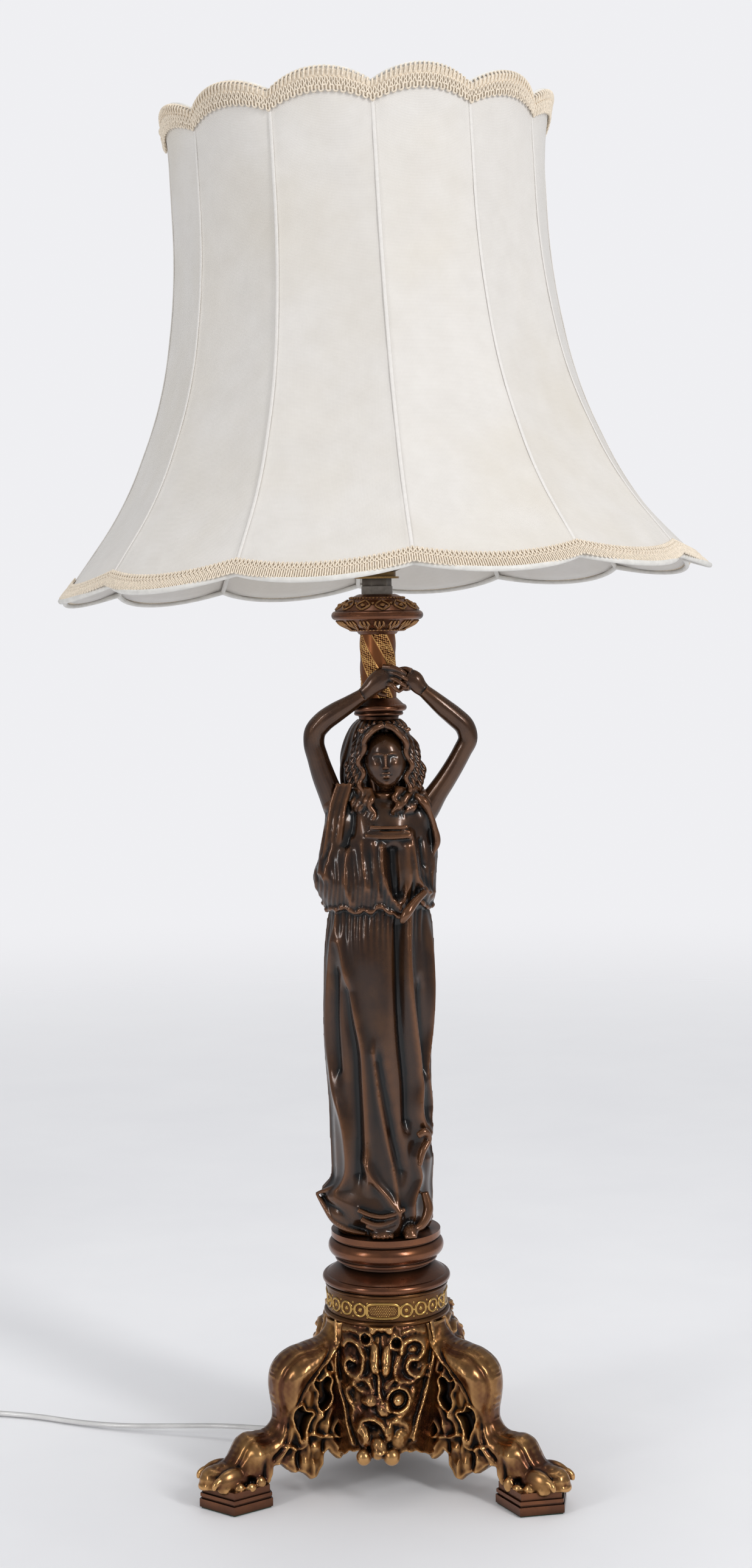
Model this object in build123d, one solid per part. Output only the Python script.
"""Figural table lamp: a draped bronze figure carries a lampholder and a bowed fabric shade.

Units are millimetres. The origin is on the lamp's axis at the level it stands on. +X is the
viewer's right, +Y points away from the viewer and +Z is up. Angles round the axis are counted
from the front (-Y) towards +X.
"""
import os
from math import cos, hypot, pi, radians, sin, sqrt, tan

from build123d import *

# ---------------------------------------------------------------- sizes of the base
foot_angles = {"left": -62.9, "right": 57.1, "back": 177.1}
panel_angles = {"front": -2.9, "right": 117.1, "left": -122.9}
foot_circle = 102.4
felt_thickness = 1.0
pad_height = 12.4
pad_radius = 23.0
pad_twist = -10.0
base_height = 100.5
drawn_base_height = 100.5
drawn_pad_top = 13.4
base_plate_radius = 36.0
base_plate_thickness = 3.5
leg_half_width = 15.5
leg_wall = 5.0
pad_inner_reach = 77.0
panel_half_width = 29.0
panel_wall = 4.0
panel_edge_height = 33.0
joint_gap = 0.15

# ---------------------------------------------------------------- sizes of the plinth
band_radius = 37.0
band_height = 19.5
band_moulding = 1.8
skirt_height = 11.5
skirt_radius = 39.4
neck_radius = 28.0
drum_height = 20.0
drum_radius = 33.7
drum_bead_radius = 35.6
casting_wall = 5.0

# ---------------------------------------------------------------- sizes of the figure
figure_height = 314.1
drawn_figure_height = 314.1
figure_hollow_foot = 19.5
figure_hollow_top = 17.0
head_height = 0.142 * figure_height
collar_height = 13.1
collar_radius = 17.4
column_radius = 10.85
column_height = 39.3

# ---------------------------------------------------------------- sizes of the drip pan and holder
pan_radius = 28.4
pan_lower_height = 11.6
pan_upper_height = 13.1
neck_ring_radius = 9.6
neck_ring_height = 4.8
nut_across_flats = 16.0
nut_height = 4.7
washer_radius = 13.8
washer_thickness = 1.2
rod_radius = 5.0
rod_bore_radius = 3.3
rod_clearance = 0.15
rod_low_end = 84.0
rod_nut_flats = 17.0
rod_nut_height = 6.5
rod_washer_radius = 12.0
rod_washer_thickness = 1.2
grommet_height = 4.0
holder_foot_radius = 11.7
holder_flange_radius = 17.2
holder_cap_height = 8.0
barrel_radius = 14.3
barrel_height = 51.0
barrel_bore_radius = 11.35
seat_radius = 18.0
seat_thickness = 3.0
seat_height = 19.0
switch_width = 8.0
switch_height = 6.0
switch_reach = 16.8
switch_bar_radius = 1.6
switch_bar_reach = 19.6
switch_travel = 2.5
bulb_cap_radius = 11.0
bulb_cap_height = 24.0
bulb_radius = 30.0
bulb_height = 105.0
pin_radius = 1.0
pin_angle = 15.0
bulb_press_travel = 2.0
plunger_radius = 2.4
plunger_spacing = 9.0

# ---------------------------------------------------------------- sizes of the shade
gore_count = 12
shade_turn = 5.0
shade_tilt = 3.0
shade_tilt_towards = 150.0
shade_shift = 2.0
shade_height = 295.0
shade_drop = 36.0
rim_radius = 189.5
lobe_reach = 11.0
lobe_drop = 6.5
crest_rise = 9.5
crest_reach = 5.0
fabric_thickness = 0.9
wire_radius = 1.5
fabric_gap = 0.45
braid_thickness = 1.4
top_braid_height = 11.0
low_braid_height = 9.4
low_braid_margin = 3.6
carrier_ring_radius = 21.0
carrier_ring_bore = 15.6
carrier_ring_thickness = 1.5
shade_ring_radius = 20.5
shade_ring_height = 5.0
running_gap = 0.3

# ---------------------------------------------------------------- sizes of the cord
cord_diameter = 4.4
coil_pitch = 5.8
coil_layer = 4.9
coil_centre = (-322.0, 72.0)
coil_outer_radius = 45.0
coil_layer_turns = 3
cord_route = [
    (0, 0, 82), (0, 0, 64), (-5, 3, 46), (-20, 13, 27), (-46, 31, 15), (-78, 53, 10),
    (-108, 65, 8), (-140, 73, 5.5), (-172, 80, 3.4), (-203, 91, 2.3), (-232, 105, 2.2),
    (-262, 113, 2.2), (-292, 117, 2.2), (-317.4, 117.1, 2.2),
]
tail_route = [(-365.66, 67.4, 7.1), (-366.6, 57, 7.1), (-369, 47, 6.7), (-371.5, 36.8, 6.4)]
plug_size = (46.0, 50.0, 21.0)
plug_sleeve = 15.0
plug_centre = (-371.5, -4.0)
plug_edge = 4.0

# ---------------------------------------------------------------- heights that follow
pad_top = felt_thickness + pad_height
band_top = base_height + band_height
skirt_top = band_top + skirt_height
plinth_top = skirt_top + drum_height
head_top = plinth_top + figure_height
head_base = head_top - head_height
column_base = head_top + collar_height
pan_base = column_base + column_height
pan_middle = pan_base + pan_lower_height
pan_top = pan_middle + pan_upper_height
nut_base = pan_top + neck_ring_height
washer_base = nut_base + nut_height
holder_base = washer_base + washer_thickness
barrel_base = holder_base + holder_cap_height
barrel_top = barrel_base + barrel_height
seat_top = barrel_base + seat_height + seat_thickness
pin_height = barrel_top - 11.5
bulb_base = pin_height - 11.0
insulator_top = bulb_base - bulb_press_travel - 0.5
insulator_height = 13.0
bore_radius = rod_radius + rod_clearance
shade_base = seat_top - shade_drop
tilt_rise = seat_radius * sin(radians(shade_tilt))
carrier_base = seat_top + tilt_rise + running_gap
ring_rise = shade_ring_radius * sin(radians(shade_tilt))
shade_ring_base = carrier_base + carrier_ring_thickness + ring_rise + running_gap
gore_angle = 360 / gore_count
base_rise = (base_height - pad_top) / (drawn_base_height - drawn_pad_top)
figure_rise = figure_height / drawn_figure_height


# ---------------------------------------------------------------- helpers
def base_level(height):
    """A height of the base's drawn lines, at the base's own height."""
    return pad_top + (height - drawn_pad_top) * base_rise


def body_level(height):
    """A height of the figure's drawn lines above the plinth, at the figure's own height."""
    return plinth_top + height * figure_rise


def facing(angle):
    """Turns a piece drawn with +X pointing outwards to an angle from the front."""
    return Rot(0, 0, angle - 90)


def outline(*points):
    """A flat face in the X-Z plane through (radius, height) points."""
    return Plane.XZ * make_face(Polyline(*points, close=True))


def disc(radius, height, size):
    """A round bead or cove of a turned profile."""
    return Plane.XZ * (Pos(radius, height) * Circle(size))


def turned(profile):
    """A piece turned about the lamp's axis from a profile in the X-Z plane."""
    return revolve(profile, Axis.Z)


def tube(radius, bore, low, high):
    """A plain round tube on the lamp's axis."""
    return Pos(0, 0, low) * extrude(Circle(radius) - Circle(bore), high - low)


def ellipsoid(centre, radii):
    """A ball drawn out to three different half lengths."""
    return Pos(*centre) * scale(Sphere(1), by=radii)


def one(shape):
    """The single solid of a shape."""
    solids = shape.solids()
    return max(solids, key=lambda s: s.volume)


def folded_ring(height, left, right, front, back, folds=0, depth=0.0, start=0.0, points=36):
    """A closed outline round the body, in or out by shallow folds."""
    half_x, half_y = (right + left) / 2, (front + back) / 2
    middle_x, middle_y = (right - left) / 2, (back - front) / 2
    ring = []
    for i in range(points):
        turn = 2 * pi * i / points
        swell = 1 + depth * cos(folds * turn + start)
        ring.append((middle_x + half_x * swell * cos(turn), middle_y + half_y * swell * sin(turn)))
    return Pos(0, 0, height) * make_face(Spline(*ring, periodic=True))


def limb(stations):
    """A round limb through (centre, radius) stations, square to its own line."""
    sections = []
    for i, (centre, radius) in enumerate(stations):
        before = Vector(*stations[max(i - 1, 0)][0])
        after = Vector(*stations[min(i + 1, len(stations) - 1)][0])
        plane = Plane(origin=centre, z_dir=(after - before).normalized())
        sections.append(plane * Circle(radius))
    return loft(sections, ruled=True)


# ---------------------------------------------------------------- base
# Outer and inner (radius, height) of a leg's fleshy line, with its half width there.
leg_line = [
    ((39.0, 100.5), (26.0, 84.0), 13.0),
    ((50.0, 90.5), (35.0, 68.0), 15.0),
    ((64.0, 85.0), (43.0, 57.0), 15.5),
    ((73.5, 75.0), (50.0, 48.0), 15.0),
    ((75.7, 60.5), (53.0, 41.0), 13.5),
    ((72.8, 48.0), (56.0, 35.0), 11.5),
    ((74.5, 40.0), (60.0, 26.0), 10.5),
    ((82.0, 37.5), (70.0, 15.0), 11.0),
    ((93.0, 38.5), (84.0, 9.0), 12.5),
    ((102.0, 31.0), (96.0, 7.0), 12.5),
    ((107.0, 25.0), (105.0, 8.0), 13.0),
]
web_outline = [(33.5, 100.5), (60.0, 84.0), (70.0, 60.0), (74.0, 24.0), (70.0, 18.5), (66.0, 20.0),
               (60.5, 14.0), (57.0, 17.0), (51.5, 10.5), (49.0, 18.0), (45.0, 26.0), (41.0, 21.5),
               (36.5, 28.0), (35.5, 60.0)]
leg_hollow = [(20.0, 0.0), (20.0, 88.0), (40.0, 88.0), (50.0, 74.0), (56.0, 55.0), (58.0, 36.0), (63.0, 0.0)]
toe_offsets = [(-11.5, 110.5), (-4.0, 113.5), (4.0, 113.5), (11.5, 110.5)]
toe_radii = (13.0, 4.4, 8.0)


def leg_flesh():
    """The haunch, hock and ankle as one swelling form of oval sections."""
    sections = []
    for outer, inner, half_width in leg_line:
        top, low = base_level(outer[1]), base_level(inner[1])
        across = Vector(outer[0] - inner[0], 0, top - low)
        centre = Vector((outer[0] + inner[0]) / 2, 0, (top + low) / 2)
        plane = Plane(origin=centre, x_dir=across.normalized(), z_dir=across.cross(Vector(0, 1, 0)))
        sections.append(plane * Ellipse(across.length / 2, half_width))
    return loft(sections)


def leg_slab(points, half_width):
    """A flat slab of the leg through (radius, height) points, the same on both sides."""
    levels = [(radius, base_level(height)) for radius, height in points]
    return extrude(outline(*levels), half_width, both=True)


def leg():
    """A lion's leg with its leafy side walls and paw, pointing along +X."""
    room = 4 * foot_circle
    body = leg_flesh() + leg_slab(web_outline, leg_half_width)
    body -= leg_slab(leg_hollow, leg_half_width - leg_wall)
    for offset, radius in toe_offsets:
        body += ellipsoid((radius, offset, pad_top + 3.6), toe_radii)
    over_pad = Pos(pad_inner_reach, 0, -pad_top) * Box(room, room, 2 * pad_top,
                                                      align=(Align.MIN, Align.CENTER, Align.MIN))
    above = Pos(0, 0, base_height) * Box(room, room, room, align=(Align.CENTER, Align.CENTER, Align.MIN))
    return one(body - over_pad - above - plate_room())


def plate_room():
    """The step at the top of the legs and panels that the plate lies in."""
    low = base_height - base_plate_thickness
    return Pos(0, 0, low) * Cylinder(base_plate_radius + joint_gap, 2 * base_plate_thickness,
                                     align=(Align.CENTER, Align.CENTER, Align.MIN))


def pad():
    """A five-sided moulded pad under a paw, pointing along +X."""
    steps = [(0.0, 4.8, 0.0), (4.8, 1.3, 1.3), (6.1, 2.0, 0.5), (8.1, 4.3, 1.9)]
    body = None
    for low, height, inset in steps:
        layer = Rot(0, 0, pad_twist) * RegularPolygon(pad_radius - inset, 5)
        step = Pos(foot_circle, 0, felt_thickness + low) * extrude(layer, height)
        body = step if body is None else body + step
    return body


def felt():
    """The felt under a pad, just inside its edge."""
    sheet = Rot(0, 0, pad_twist) * RegularPolygon(pad_radius - 1.2, 5)
    return Pos(foot_circle, 0, 0) * extrude(sheet, felt_thickness)


# Height and outer radius of a panel's middle line.
panel_line = [(100.5, 38.5), (92.0, 42.0), (80.0, 46.0), (66.0, 51.0), (54.0, 55.0),
              (42.0, 58.0), (22.0, 58.5)]


def panel_section(height, reach, half_width, side):
    """A bowed wall section with its ends on the neighbouring legs."""
    depth = panel_wall
    outer = ThreePointArc((side, -half_width), (reach, 0), (side, half_width))
    inner = ThreePointArc((side - depth, half_width), (reach - depth, 0), (side - depth, -half_width))
    ends = [Line(outer @ 1, inner @ 0), Line(inner @ 1, outer @ 0)]
    return Pos(0, 0, height) * make_face([outer, ends[0], inner, ends[1]])


def panel():
    """A bombe panel between two legs with its boss, buds and berries, pointing along +X."""
    half = panel_half_width
    sections = []
    for height, reach in panel_line:
        grip = min(1.0, (drawn_base_height - height) / 20)
        level = base_level(height)
        sections.append(panel_section(level, reach, half - 3.0 * (1 - grip), 26.5 + 5.1 * grip))
    body = loft(sections)
    arch_radius = 62.0
    arch = Pos(0, 0, base_level(panel_edge_height) - arch_radius) * Rot(0, 90, 0) * Cylinder(arch_radius, 200)
    body -= arch
    body += ellipsoid((40.5, 0, base_level(99.0)), (5.5, 6.5, 5.0))
    for side in (-2.4, 2.4):
        body += ellipsoid((45.5, side, base_level(86.0)), (5.5, 2.8, 9.0))
    berries = [(-9.5, 62.5, 55.0), (0.5, 58.5, 57.0), (9.5, 63.0, 55.0)]
    for side, height, reach in berries:
        body += Pos(reach - 1.0, side, base_level(height)) * Sphere(4.5)
    for side, height in ((-8.6, 30.5), (0.0, 34.0), (8.6, 30.5)):
        body += Pos(57.5, side, base_level(height)) * Sphere(5.6)
    for side in (-21.6, 21.6):
        body += Pos(10.8, 0, base_level(80.0)) * Rot(0, 0, side) * Pos(35.6, 0, 0) * Rot(0, 71, 0) * Torus(6.5, 2.0)
    body -= Pos(0, 0, base_height + 10) * Box(200, 200, 20)
    for side in (-60, 60):
        leg_room = Box(4 * foot_circle, 2 * leg_half_width, 4 * base_height,
                       align=(Align.MIN, Align.CENTER, Align.CENTER))
        body -= Rot(0, 0, side) * leg_room
    return one(body - plate_room())


def base_plate():
    """The plate inside the top of the base that the rod is bolted to."""
    low = base_height - base_plate_thickness
    return tube(base_plate_radius, bore_radius, low, base_height)


# ---------------------------------------------------------------- plinth
def ornament_band():
    """The band between its two mouldings, open inside."""
    low, high = base_height, band_top
    profile = outline((band_radius - casting_wall, low), (band_radius, low), (band_radius, high),
                      (band_radius - casting_wall, high))
    profile += disc(band_radius, low + band_moulding, band_moulding)
    profile += disc(band_radius - 0.5, high - 1.3, 1.3)
    profile += outline((bore_radius, high - 3), (band_radius - 1, high - 3),
                       (band_radius - 1, high), (bore_radius, high))
    return turned(profile)


def plinth_skirt():
    """The sloping shoulder above the band."""
    low, high = band_top, skirt_top
    rim = 2.6
    profile = outline((bore_radius, low), (skirt_radius - rim, low), (skirt_radius - rim, low + 2 * rim),
                      (neck_radius, high), (bore_radius, high))
    profile += disc(skirt_radius - rim, low + rim, rim)
    profile -= disc(neck_radius + 7.5, high + 5.0, 8.4)
    profile -= outline((bore_radius, low), (neck_radius - casting_wall, low),
                       (neck_radius - casting_wall, high - 3), (bore_radius, high - 3))
    return turned(profile)


def plinth_drum():
    """The moulded drum that the figure stands on."""
    low, high = skirt_top, plinth_top
    profile = outline((bore_radius, low), (neck_radius, low), (neck_radius, low + 1.2),
                      (31.0, low + 2.0), (31.0, low + 4.6), (32.0, low + 5.2), (32.4, high - 4.2),
                      (drum_radius, high - 3.6), (drum_radius, high), (bore_radius, high))
    profile += disc(drum_bead_radius - 5.6, low + 10.2, 5.6)
    profile += disc(30.2, low + 3.2, 1.4)
    profile -= outline((bore_radius, low), (neck_radius - casting_wall, low),
                       (neck_radius - casting_wall, high - 5), (bore_radius, high - 5))
    return turned(profile)


# ---------------------------------------------------------------- figure
# Height above the plinth, then reach to the left, right, front and back of the axis.
skirt_rings = [
    (0.0, 31.0, 25.0, 25.0, 25.0), (9.0, 35.0, 27.5, 28.0, 27.0), (28.0, 33.5, 28.5, 26.0, 26.5),
    (68.0, 34.0, 30.0, 25.0, 26.0), (104.0, 35.0, 29.8, 25.0, 26.0), (154.0, 36.5, 32.0, 27.0, 28.0),
    (182.0, 34.5, 30.0, 26.0, 26.5), (197.0, 32.0, 27.5, 24.5, 25.0),
]
blouse_rings = [
    (194.5, 34.0, 30.5, 27.0, 26.0), (201.0, 37.0, 32.0, 28.0, 27.0), (215.5, 43.5, 33.0, 29.0, 27.0),
    (232.0, 38.0, 34.5, 27.0, 26.0), (245.0, 34.0, 32.0, 24.5, 24.0), (256.0, 34.5, 31.5, 21.0, 22.0),
    (264.0, 30.0, 27.0, 15.0, 20.0), (269.5, 22.0, 18.0, 11.0, 18.0),
]
hair_rings = [
    (0.0, 25.5, 20.0, 9.0, 21.0), (11.0, 25.5, 22.5, 12.0, 22.5), (24.0, 24.5, 22.5, 13.5, 22.5),
    (35.0, 20.5, 20.0, 13.0, 20.0), (42.0, 17.0, 17.5, 11.5, 17.0), (44.6, 14.0, 14.5, 9.5, 14.0),
]


def figure_body():
    """The draped body: folded skirt, bloused overfold, shoulders, neck and feet."""
    skirt = loft([folded_ring(body_level(h), *r, folds=9, depth=0.035, start=1.0)
                  for h, *r in skirt_rings])
    blouse = loft([folded_ring(body_level(h), *r, folds=12, depth=0.025) for h, *r in blouse_rings])
    body = skirt + blouse
    body += Pos(2, -4, head_base - 22) * Cylinder(8, 22, align=(Align.CENTER, Align.CENTER, Align.MIN))
    for side in (-7.0, 9.0):
        body += ellipsoid((side, -24.0, plinth_top), (7.0, 9.5, 6.5))
    body += ellipsoid((-33.0, -6.0, plinth_top + 17.0), (12.5, 10.0, 5.5))
    figure_room = Pos(0, 0, plinth_top) * Cylinder(60, head_base - plinth_top,
                                                   align=(Align.CENTER, Align.CENTER, Align.MIN))
    body &= figure_room
    hollow_top = plinth_top + 0.72 * figure_height
    body -= Pos(0, 0, plinth_top) * Cone(figure_hollow_foot, figure_hollow_top, hollow_top - plinth_top,
                                         align=(Align.CENTER, Align.CENTER, Align.MIN))
    return one(body - tube_room())


def tube_room():
    """The passage of the rod through the figure."""
    return Cylinder(bore_radius, 2 * head_top)


def figure_head():
    """The head with its wavy hair falling on both sides."""
    hair = loft([folded_ring(head_base + h * figure_rise, *r, folds=11, depth=0.03, start=0.6)
                 for h, *r in hair_rings])
    face = ellipsoid((2.5, -11.0, head_base + 20.0), (12.0, 11.5, 16.5))
    nose = ellipsoid((3.6, -21.5, head_base + 17.5), (1.8, 2.6, 3.6))
    room = Pos(0, 0, head_base) * Cylinder(60, head_height,
                                           align=(Align.CENTER, Align.CENTER, Align.MIN))
    return one(((hair + face + nose) & room) - tube_room())


left_arm = [
    ((-26.5, -1.0, 254.0), 8.2), ((-30.0, -3.0, 268.0), 7.6), ((-35.5, -5.5, 286.0), 6.9),
    ((-40.0, -8.0, 301.0), 6.2), ((-38.5, -10.0, 309.5), 6.4), ((-31.0, -12.0, 316.0), 6.6),
    ((-19.0, -14.5, 323.5), 5.6), ((-7.0, -16.5, 330.5), 4.3), ((3.0, -17.0, 337.5), 5.2),
    ((11.0, -17.0, 342.5), 4.0), ((16.0, -17.0, 343.0), 3.0),
]
right_arm = [
    ((27.5, -1.0, 254.0), 8.2), ((34.0, -3.0, 269.0), 7.2), ((43.5, -5.5, 286.0), 6.2),
    ((52.0, -8.0, 299.0), 5.9), ((53.5, -9.5, 305.5), 6.2), ((48.0, -12.0, 313.5), 6.3),
    ((37.0, -14.5, 323.5), 5.6), ((28.0, -16.5, 332.0), 4.4), ((22.0, -17.0, 339.0), 5.2),
    ((17.5, -17.0, 343.5), 3.6),
]


def arm(stations):
    """A raised arm with its hand resting in front of the column."""
    return limb([((x, y, body_level(z)), r) for (x, y, z), r in stations])


# ---------------------------------------------------------------- column and drip pan
def head_collar():
    """The moulded collar that sits on the head."""
    low = head_top
    profile = outline((bore_radius, low), (12.2, low), (12.4, low + 1.6), (13.6, low + 2.4),
                      (15.0, low + 4.6), (14.4, low + 5.0), (15.6, low + 9.0), (11.2, column_base),
                      (bore_radius, column_base))
    profile += disc(14.0, low + 3.4, 1.2)
    profile += disc(collar_radius - 2.1, low + 7.0, 2.1)
    return turned(profile)


def column():
    """The round column between the collar and the drip pan."""
    return tube(column_radius, bore_radius, column_base, pan_base)


def drip_pan_lower():
    """The bowl-shaped underside of the drip pan."""
    profile = outline((bore_radius, pan_base), (11.6, pan_base), (12.6, pan_base + 1.4),
                      (16.7, pan_base + 2.4), (17.2, pan_base + 3.4), (22.5, pan_base + 6.0),
                      (25.8, pan_base + 8.9), (25.8, pan_middle), (bore_radius, pan_middle))
    profile += disc(16.2, pan_base + 2.7, 1.0)
    half_rim = Plane.XZ * (Pos(pan_radius - 2.8, pan_middle) * Circle(2.8))
    half_rim &= outline((20, pan_middle - 4), (40, pan_middle - 4), (40, pan_middle), (20, pan_middle))
    return turned(profile + half_rim)


def drip_pan_upper():
    """The domed top of the drip pan."""
    low = pan_middle
    profile = outline((bore_radius, low), (25.6, low), (26.0, low + 3.2), (23.0, low + 6.2),
                      (17.6, low + 9.6), (16.7, low + 10.6), (12.6, low + 12.6), (11.0, pan_top),
                      (bore_radius, pan_top))
    profile += disc(16.0, low + 10.6, 1.0)
    half_rim = Plane.XZ * (Pos(pan_radius - 2.8, low) * Circle(2.8))
    half_rim &= outline((20, low), (40, low), (40, low + 4), (20, low + 4))
    return turned(profile + half_rim)


def hex_nut(low, flats, height):
    """A six-sided nut on the rod, turned so that two faces show from the front."""
    body = RegularPolygon(flats / 2, 6, major_radius=False, rotation=10)
    return Pos(0, 0, low) * extrude(body - Circle(bore_radius), height)


# ---------------------------------------------------------------- lampholder
def holder_cap():
    """The flared cap of the lampholder with two thin flanges, hollow for the wires."""
    low, high = holder_base, barrel_base
    flange = holder_flange_radius
    profile = outline((bore_radius, low), (holder_foot_radius, low), (holder_foot_radius, low + 3.0),
                      (flange - 1.6, low + 5.0), (flange - 1.6, low + 5.6), (flange, low + 5.8),
                      (flange, low + 6.6), (flange - 1.4, high), (bore_radius, high))
    profile -= outline((bore_radius, low + 2.5), (holder_foot_radius - 2, low + 2.5),
                       (holder_foot_radius - 2, high), (bore_radius, high))
    return turned(profile)


def bayonet_slots():
    """The two hooked slots that take the bulb's pins."""
    width = 2 * pin_radius + 0.6
    rest_top = pin_height + pin_radius + 0.3
    floor = pin_height - bulb_press_travel - pin_radius - 0.3
    depth = barrel_radius + 2
    cut = None
    for side in (0, 180):
        entry = Pos(depth / 2, 0, (floor + barrel_top + 1) / 2) * Box(depth, width, barrel_top + 1 - floor)
        hook = Rot(0, 0, pin_angle) * (Pos(depth / 2, 0, (floor + rest_top) / 2)
                                       * Box(depth, width, rest_top - floor))
        leg_face = Plane.XY * make_face(Polyline(
            (0, 0), (depth, -width / 2), (depth, width / 2),
            (depth * cos(radians(pin_angle)), depth * sin(radians(pin_angle))), close=True))
        foot = Pos(0, 0, floor) * extrude(leg_face, width)
        slots = Rot(0, 0, side) * (entry + hook + foot)
        cut = slots if cut is None else cut + slots
    return cut


def holder_body():
    """The lampholder's barrel with the shade seat, the switch box and the bayonet slots."""
    bore = barrel_bore_radius
    barrel = tube(barrel_radius, bore, barrel_base, barrel_top)
    seat = tube(seat_radius, bore, seat_top - seat_thickness, seat_top)
    box = Pos(0, 0, barrel_base) * Box(switch_reach, switch_width, switch_height,
                                       align=(Align.MIN, Align.CENTER, Align.MIN))
    box -= Cylinder(bore, 4 * barrel_top)
    floor = tube(bore + 0.5, bore_radius, barrel_base, barrel_base + 1.2)
    shelf_top = insulator_top - insulator_height
    shelf = tube(bore + 0.5, bore - 2, shelf_top - 2, shelf_top)
    body = barrel + seat + box + floor + shelf
    return one(body - bayonet_slots() - switch_passage(switch_bar_radius + 0.08))


def switch_line():
    """The line that the switch bar slides along."""
    return Pos(0, 0, barrel_base + switch_height / 2) * Rot(0, 90, 0)


def switch_passage(radius):
    """The round way through the lampholder that the switch bar slides in."""
    return switch_line() * Cylinder(radius, 4 * switch_reach)


def switch_bar():
    """The push bar of the switch, standing out of its box when off."""
    length = switch_bar_reach + barrel_radius + 0.5
    return switch_line() * Pos(0, 0, switch_bar_reach - length / 2) * Cylinder(switch_bar_radius, length)


def insulator():
    """The moulded core that carries the two contacts."""
    low = insulator_top - insulator_height
    body = Pos(0, 0, low) * Cylinder(barrel_bore_radius - joint_gap, insulator_height,
                                     align=(Align.CENTER, Align.CENTER, Align.MIN))
    for side in (-1, 1):
        hole = Pos(side * plunger_spacing / 2, 0, low + insulator_height / 2)
        body -= hole * Cylinder(plunger_radius + 0.1, 2 * insulator_height)
    return body


def plungers():
    """The two sprung contacts under the bulb."""
    low = insulator_top - insulator_height + bulb_press_travel + 0.5
    pins = []
    for side in (-1, 1):
        pins.append(Pos(side * plunger_spacing / 2, 0, low) * Cylinder(
            plunger_radius, bulb_base - 0.05 - low, align=(Align.CENTER, Align.CENTER, Align.MIN)))
    return Compound(children=pins)


def shade_ring():
    """The screwed ring that holds the shade down on the barrel: a flange with a collar above it."""
    low, high = shade_ring_base, shade_ring_base + shade_ring_height
    bore, collar = barrel_radius + joint_gap, shade_ring_radius - 2.5
    profile = outline((bore, low), (shade_ring_radius, low), (shade_ring_radius, low + 2.0),
                      (collar, low + 2.6), (collar, high - 0.5), (collar - 0.5, high), (bore, high))
    return turned(profile)


# ---------------------------------------------------------------- bulb
def bulb_cap():
    """The bulb's metal cap."""
    body = tube(bulb_cap_radius, bulb_cap_radius - 0.7, bulb_base, bulb_base + bulb_cap_height)
    return body + Pos(0, 0, bulb_base) * Cylinder(bulb_cap_radius, 1,
                                                  align=(Align.CENTER, Align.CENTER, Align.MIN))


def bulb_pins():
    """The two side pins of the bulb's cap, set in its wall."""
    length = 2 * (barrel_radius - 0.4)
    pins = Pos(0, 0, pin_height) * Rot(0, 0, pin_angle) * Rot(0, 90, 0) * Cylinder(pin_radius, length)
    return pins - Cylinder(bulb_cap_radius, 4 * barrel_top)


def bulb_profile(shrink):
    """Half the outline of the glass, drawn in by the given amount."""
    radius, centre = bulb_radius - shrink, bulb_base + bulb_height - bulb_radius
    neck = bulb_cap_radius - 1.0 - shrink
    foot = bulb_base + bulb_cap_height - 8 + shrink
    shoulder = centre - radius * sin(radians(38))
    cheek = radius * cos(radians(38))
    ball = Plane.XZ * (Pos(0, centre) * Circle(radius))
    throat = outline((0, foot), (neck, foot), (neck, foot + 9), (neck + 2.5, foot + 16),
                     (cheek, shoulder), (0, shoulder))
    return (ball + throat) & outline((0, 0), (100, 0), (100, 2 * barrel_top), (0, 2 * barrel_top))


def bulb_glass():
    """The hollow glass of the bulb."""
    return one(turned(bulb_profile(0) - bulb_profile(1.0)))


# ---------------------------------------------------------------- shade
# Height of the wires as a share of the shade's, and their radius as a share of the rim's.
bell_shares = [(0.0220, 1.0), (0.1848, 0.8074), (0.4051, 0.6623), (0.6542, 0.5990), (0.9153, 0.5990),
               (0.9678, 0.6042)]
bell_points = [(shade_height * up, rim_radius * out) for up, out in bell_shares]


def bell_line():
    """The curve of one upright wire, as runs joined by wide tangent arcs."""
    points = [(radius, height) for height, radius in bell_points]
    radii = []
    for before, here, after in zip(points, points[1:], points[2:]):
        first, second = Vector(*here) - Vector(*before), Vector(*after) - Vector(*here)
        turn = radians(first.get_angle(second))
        radii.append(0.45 * min(first.length, second.length) / tan(turn / 2))
    return FilletPolyline(*points, radius=radii)


bell = bell_line()


def fabric_point(share, around):
    """A point of the stretched fabric: its share of the way up and its angle from a gore's middle."""
    on_wire = bell @ share
    edge = radians(gore_angle / 2)
    across = 1 - (around / (gore_angle / 2)) ** 2
    sag = on_wire.X * (1 - cos(edge))
    radius = on_wire.X * cos(edge) / cos(radians(around))
    radius += across * (lobe_reach + sag) * (1 - share) ** 7
    radius += across * (crest_reach + sag) * share ** 9
    height = on_wire.Y - across * lobe_drop * (1 - share) ** 4 + across * crest_rise * share ** 6
    return radius, height


def bell_point(share, around, outward=0.0):
    """A point of the fabric, moved square out of it."""
    radius, height = fabric_point(share, around)
    low, high = fabric_point(max(share - 0.004, 0), around), fabric_point(min(share + 0.004, 1), around)
    run, rise = high[0] - low[0], high[1] - low[1]
    return radius + outward * rise / hypot(run, rise), height - outward * run / hypot(run, rise)


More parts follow.
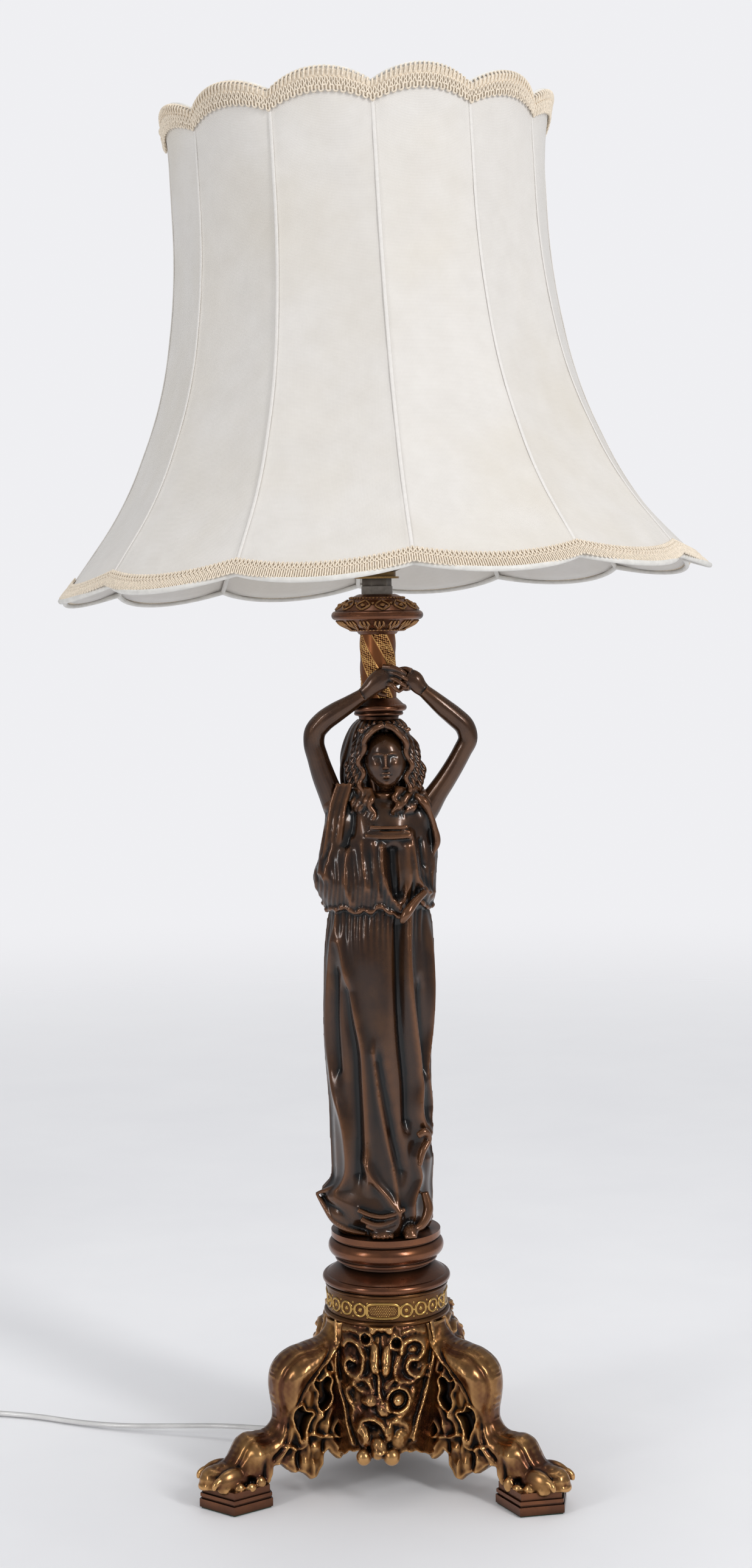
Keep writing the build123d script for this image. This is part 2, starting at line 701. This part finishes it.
def gore_section(around, low, high, inner, outer, steps=6):
    """A thin upright section of a gore or of its trim, in the plane of the given angle."""
    shares = [low + (high - low) * i / steps for i in range(steps + 1)]
    outside = Spline(*[bell_point(s, around, outer) for s in shares])
    inside = Spline(*[bell_point(s, around, inner) for s in reversed(shares)])
    ends = [Line(outside @ 1, inside @ 0), Line(inside @ 1, outside @ 0)]
    face = make_face([outside, ends[0], inside, ends[1]])
    return Rot(0, 0, around) * (Plane.XZ * face)


def gore_strip(low, high, inner, outer, margin=0.0, steps=6):
    """A strip of one gore between two shares of the height."""
    half = gore_angle / 2 - margin
    angles = [-half, -half / 2, 0, half / 2, half]
    return loft([gore_section(a, low, high, inner, outer, steps) for a in angles])


def gore_place(index):
    """Turns a gore from +X to its place round the shade."""
    return facing(shade_turn + gore_angle * (index + 0.5))


def on_shade(piece):
    """Sets a piece drawn on an upright shade on the tilted carrier ring."""
    pivot = Pos(0, 0, carrier_base)
    lean = Rot(0, 0, shade_tilt_towards) * Rot(0, shade_tilt, 0) * Rot(0, 0, -shade_tilt_towards)
    return pivot * lean * Pos(shade_shift, 0, shade_base - carrier_base) * piece


def braid(low, high):
    """A closed band of trim laid on the outside of the fabric."""
    inner = wire_radius + fabric_gap + fabric_thickness + 0.3
    strip = gore_strip(low, high, inner, inner + braid_thickness, steps=4)
    return fused([gore_place(index) * strip for index in range(gore_count)])


def fused(pieces):
    """Pieces joined into one."""
    return pieces[0].fuse(*pieces[1:])


def ring_bow(share):
    """One bow of a scalloped wire ring, with a ball at its end where the next bow is welded."""
    corner, middle = bell_point(share, gore_angle / 2), bell_point(share, 0)
    turn = radians(gore_angle / 2)
    start = (corner[0] * cos(turn), -corner[0] * sin(turn), corner[1])
    finish = (start[0], -start[1], start[2])
    bow = ThreePointArc(start, (middle[0], 0, middle[1]), finish)
    wire = sweep(Plane(origin=bow @ 0, z_dir=bow % 0) * Circle(wire_radius), path=bow)
    return wire + Pos(*finish) * Sphere(wire_radius)


def upright_wire():
    """One upright wire from the lower ring to the upper ring, pointing along +X."""
    path = Plane.XZ * bell
    section = Plane(origin=path @ 0, z_dir=path % 0) * Circle(wire_radius * 0.99)
    return sweep(section, path=path)


def shade_frame():
    """The welded wire frame: two scalloped rings and the upright wires."""
    bays = []
    for index in range(gore_count):
        bays.append(gore_place(index) * ring_bow(0.0))
        bays.append(gore_place(index) * ring_bow(1.0))
        bays.append(facing(shade_turn + gore_angle * index) * upright_wire())
    return fused(bays)


def shade_carrier():
    """The carrier ring on the lampholder, a little off the shade's middle, with arms to three uprights."""
    low = shade_drop + tilt_rise + running_gap
    middle = Pos(-shade_shift, 0, 0)
    ring = middle * tube(carrier_ring_radius, carrier_ring_bore, low, low + carrier_ring_thickness)
    height = low + carrier_ring_thickness - wire_radius
    share = min((abs((bell @ (i / 200)).Y - height), i / 200) for i in range(200))[1]
    reach = (bell @ share).X
    start = seat_radius + 0.8
    room = middle * Pos(0, 0, height) * Cylinder(carrier_ring_bore, 8)
    for index in range(3):
        turn = radians(shade_turn + 120 * index - 90)
        end = Vector(reach * cos(turn), reach * sin(turn), height)
        heading = (end - Vector(-shade_shift, 0, height)).normalized()
        first = Vector(-shade_shift, 0, height) + heading * start
        arm_wire = Cylinder(wire_radius, (end - first).length, align=(Align.CENTER, Align.CENTER, Align.MIN))
        ring += Plane(origin=first, z_dir=heading) * arm_wire
        ring -= facing(shade_turn + 120 * index) * upright_wire()
    return one(ring - room)


# ---------------------------------------------------------------- cord
def coil_point(turns):
    """A point of the coil after so many turns: in on the floor, then out on top."""
    inner = coil_outer_radius - coil_pitch * coil_layer_turns
    climb = min(max((turns - coil_layer_turns) / 0.5, 0), 1)
    if turns <= coil_layer_turns:
        radius = coil_outer_radius - coil_pitch * turns
    elif turns <= coil_layer_turns + 0.5:
        radius = inner
    else:
        radius = inner + coil_pitch * (turns - coil_layer_turns - 0.5)
    height = cord_diameter / 2 + coil_layer * (1 - cos(pi * climb)) / 2
    angle = pi / 2 + 2 * pi * turns
    return Vector(coil_centre[0] + radius * cos(angle), coil_centre[1] + radius * sin(angle), height)


def coil_path():
    """The coil's line: two tangent arcs for each quarter turn, with a short straight at each end."""
    total = 2 * coil_layer_turns + 0.25
    steps = int(total * 4)
    nudge = 1e-3
    places, heads = [], []
    for i in range(steps + 1):
        turns = i / 4
        step = coil_point(min(turns + nudge, total)) - coil_point(max(turns - nudge, 0))
        places.append(coil_point(turns))
        heads.append(step.normalized())
    edges = [Edge.make_line(places[0] - heads[0] * cord_diameter, places[0])]
    for i in range(steps):
        first, last = heads[i], heads[i + 1]
        chord, both = places[i + 1] - places[i], heads[i] + heads[i + 1]
        a, b, c = 2 * (1 - first.dot(last)), 2 * chord.dot(both), -chord.dot(chord)
        reach = (-b + sqrt(b * b - 4 * a * c)) / (2 * a)
        near, far = places[i] + first * reach, places[i + 1] - last * reach
        middle = (near + far) / 2
        edges.append(Edge.make_tangent_arc(places[i], first, middle))
        edges.append(Edge.make_tangent_arc(middle, far - near, places[i + 1]))
    edges.append(Edge.make_line(places[-1], places[-1] + heads[-1] * cord_diameter))
    return Wire(edges)


def coil_gap():
    """The least distance between two turns of the coil, measured from surface to surface."""
    count = 1600
    total = 2 * coil_layer_turns + 0.25
    points = [coil_point(total * i / count) for i in range(count + 1)]
    half_turn = int(count / total / 2)
    least = min((points[i] - points[j]).length
                for i in range(0, count, 4) for j in range(i + half_turn, count, 4))
    return least - cord_diameter


def cord_tube(path):
    """A round cord along a path."""
    section = Plane(origin=path @ 0, z_dir=path % 0) * Circle(cord_diameter / 2)
    return sweep(section, path=path)


def tangent_route(route, name):
    """A cord's line, straight runs joined by the widest arcs that fit."""
    radii = []
    for before, here, after in zip(route, route[1:], route[2:]):
        first, second = Vector(*here) - Vector(*before), Vector(*after) - Vector(*here)
        turn = radians(first.get_angle(second))
        radii.append(0.45 * min(first.length, second.length) / tan(turn / 2))
    print(name, "bend radii", [round(r) for r in radii])
    return FilletPolyline(*route, radius=radii)


def cord_grommet():
    """The bush that the cord leaves the rod through."""
    return tube(rod_radius, cord_diameter / 2 + joint_gap, rod_low_end - grommet_height, rod_low_end)


def plug():
    """A plug lying on its back, with the sleeve that the cord enters."""
    width, length, height = plug_size
    block = Pos(0, 0, height / 2) * Box(width, length, height)
    block = fillet(block.edges().filter_by(Axis.Z), 3 * plug_edge)
    block = fillet(block.faces().sort_by(Axis.Z)[-1].edges(), plug_edge / 2)
    sleeve = Pos(-0.0, length / 2 + plug_sleeve / 2 - 0.5, 6.4) * Rot(-90, 0, 0) * Cone(
        5.6, 3.2, plug_sleeve + 1)
    return Pos(*plug_centre) * (block + sleeve)


def plug_pins():
    """The three pins of the plug, standing up."""
    height = plug_size[2]
    pins = [Pos(x, 8, height + 9) * Box(6.3, 4, 18) for x in (-11, 11)]
    pins.append(Pos(0, -14, height + 11.5) * Box(4, 8, 23))
    return Compound(children=[Pos(*plug_centre) * pin for pin in pins])


# ---------------------------------------------------------------- the lamp
def stack_parts():
    """The base, the plinth, the figure and the tube they are clamped on."""
    nodes = {}
    leg_shape, pad_shape, panel_shape = leg(), pad(), panel()
    for side, angle in foot_angles.items():
        nodes["leg_" + side] = facing(angle) * leg_shape
        nodes["pad_" + side] = facing(angle) * pad_shape
    for side, angle in panel_angles.items():
        nodes["panel_" + side] = facing(angle) * panel_shape
    nodes["foot_felts"] = Compound(children=[facing(angle) * felt() for angle in foot_angles.values()])
    nodes["base_plate"] = base_plate()
    nodes["ornament_band"] = ornament_band()
    nodes["plinth_skirt"] = plinth_skirt()
    nodes["plinth_drum"] = plinth_drum()
    body, head = figure_body(), figure_head()
    right, left = arm(right_arm), arm(left_arm)
    right = one(right - body - head)
    left = one(left - body - head - right)
    nodes["figure_body"], nodes["figure_head"] = body, head
    nodes["figure_arm_right"], nodes["figure_arm_left"] = right, left
    nodes["head_collar"] = head_collar()
    nodes["column"] = column()
    nodes["drip_pan_lower"] = drip_pan_lower()
    nodes["drip_pan_upper"] = drip_pan_upper()
    nodes["neck_ring"] = tube(neck_ring_radius, bore_radius, pan_top, nut_base)
    nodes["hex_nut"] = hex_nut(nut_base, nut_across_flats, nut_height)
    nodes["washer"] = tube(washer_radius, bore_radius, washer_base, holder_base)
    nodes["rod"] = tube(rod_radius, rod_bore_radius, rod_low_end, barrel_base - 2)
    washer_low = base_height - base_plate_thickness - rod_washer_thickness
    nodes["rod_washer"] = tube(rod_washer_radius, bore_radius, washer_low,
                               washer_low + rod_washer_thickness)
    nodes["rod_nut"] = hex_nut(washer_low - rod_nut_height, rod_nut_flats, rod_nut_height)
    return nodes


def holder_parts():
    """The lampholder with its switch, contacts, ring and bulb."""
    nodes = {"holder_cap": holder_cap(), "holder_body": holder_body(), "insulator": insulator()}
    nodes["plungers"] = plungers()
    nodes["switch_bar"] = switch_bar()
    nodes["shade_ring"] = shade_ring()
    nodes["bulb"] = bulb_glass()
    nodes["bulb_cap"] = bulb_cap()
    nodes["bulb_pins"] = bulb_pins()
    return nodes


def shade_parts():
    """The wire frame, the fabric gores, the trims and the carrier, all set on the tilted ring."""
    nodes = {}
    inner = wire_radius + fabric_gap
    gore = gore_strip(0.0, 1.0, inner, inner + fabric_thickness, steps=14)
    for index in range(gore_count):
        nodes[f"gore_{index + 1:02d}"] = gore_place(index) * gore
    nodes["shade_frame"] = shade_frame()
    nodes["shade_carrier"] = shade_carrier()
    length = bell.length
    low = low_braid_margin / length
    nodes["low_braid"] = braid(low, low + low_braid_height / length)
    nodes["top_braid"] = braid(1 - top_braid_height / length, 1.0)
    return {name: on_shade(piece) for name, piece in nodes.items()}


def cord_parts():
    """The cord out of the base, its coil on the floor and the plug."""
    free, tail = tangent_route(cord_route, "cord"), tangent_route(tail_route, "tail")
    wound = coil_path()
    print("coil gap", round(coil_gap(), 3), "length", round(free.length + wound.length + tail.length))
    nodes = {"cord": cord_tube(free), "cord_coil": cord_tube(wound), "cord_tail": cord_tube(tail)}
    for name, path in (("cord", free), ("cord_coil", wound), ("cord_tail", tail)):
        expected = path.length * pi * cord_diameter ** 2 / 4
        print(name, "volume against section by length", round(nodes[name].volume / expected, 4))
    nodes["cord_grommet"] = cord_grommet()
    nodes["plug"] = plug()
    nodes["plug_pins"] = plug_pins()
    return nodes


os.makedirs("parts", exist_ok=True)
for build in (stack_parts, holder_parts, shade_parts, cord_parts):
    for node, shape in build().items():
        export_step(shape, f"parts/{node}.step")
